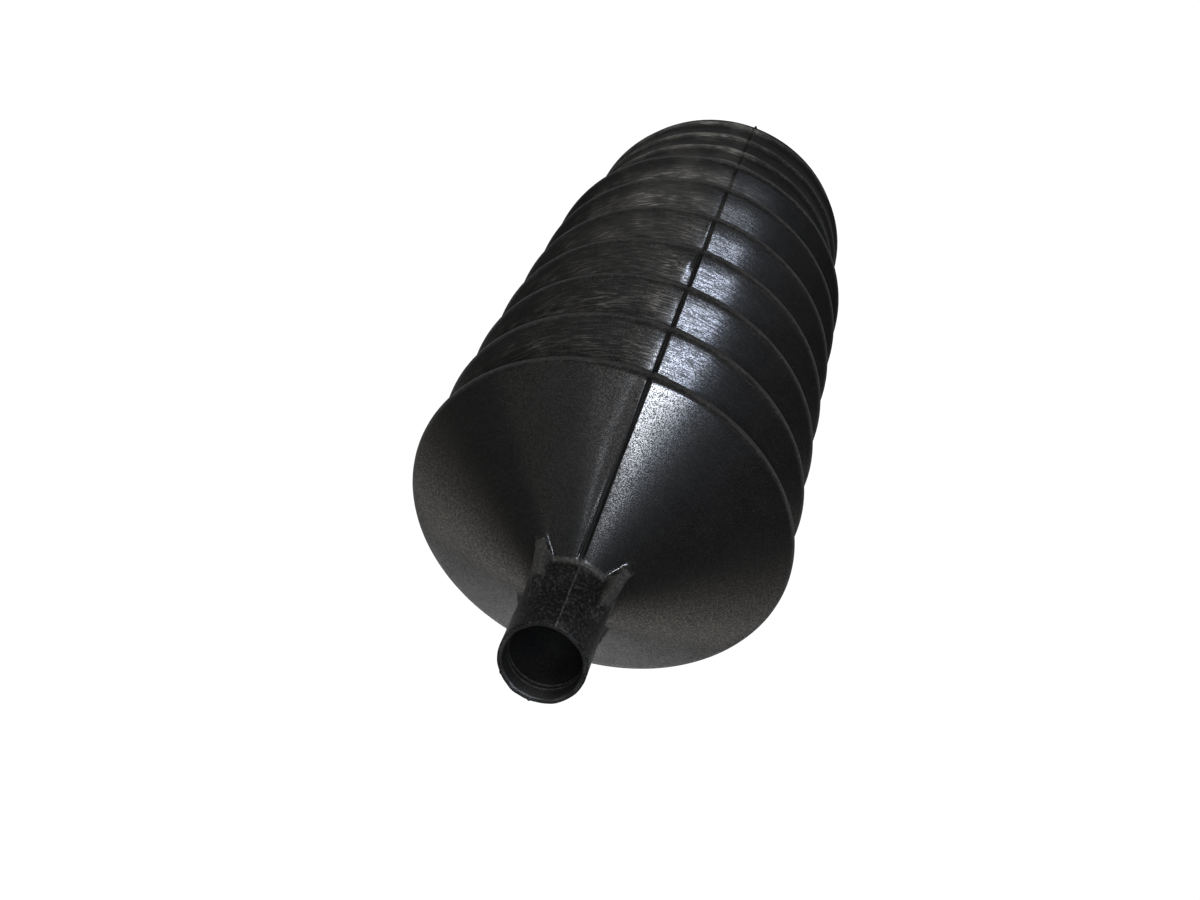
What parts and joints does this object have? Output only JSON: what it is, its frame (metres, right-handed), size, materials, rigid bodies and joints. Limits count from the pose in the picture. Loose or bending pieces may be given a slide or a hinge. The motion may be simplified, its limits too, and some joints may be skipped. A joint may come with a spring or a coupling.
{
  "type": "rubber bellows boot",
  "caption": "Moulded rubber bellows boot: wide ringed cuff, deep folds, cone and a narrow gusseted neck, to seal a sliding rod.",
  "frame": {"origin": "centre of the large open rim, on which the boot stands", "axes": "+Z along the boot's axis from the large rim to the narrow neck; the mould's parting line runs up the front (-Y) and the back (+Y)"},
  "size_m": [0.08, 0.08, 0.179],
  "materials": {
    "black_rubber": "satin black moulded rubber with fine tool marks on the folds"
  },
  "bodies": {
    "root": {"bellows_boot": "black_rubber"}
  },
  "joints": []
}
